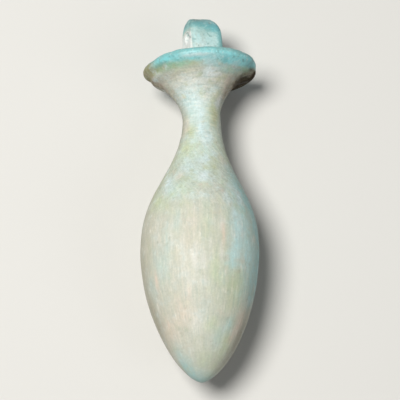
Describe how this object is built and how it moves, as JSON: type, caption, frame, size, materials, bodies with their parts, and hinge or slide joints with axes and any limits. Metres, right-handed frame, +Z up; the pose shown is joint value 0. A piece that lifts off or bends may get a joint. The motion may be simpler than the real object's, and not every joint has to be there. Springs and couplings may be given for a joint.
{
  "type": "plummet amulet",
  "caption": "Bob-shaped pendant of glazed faience lying on its side, with a pointed swelling bob, slim neck, round flange and a pierced suspension loop on top.",
  "frame": {"origin": "middle of the box's underside, on the surface that the amulet lies on", "axes": "+Y along the amulet's length from its point to its suspension loop, +X across it, +Z up"},
  "size_m": [0.0162, 0.0518, 0.0161],
  "materials": {
    "faience": "pale turquoise to cream faience glaze, worn to satin"
  },
  "bodies": {
    "root": {"plummet_amulet": "faience"}
  },
  "joints": []
}
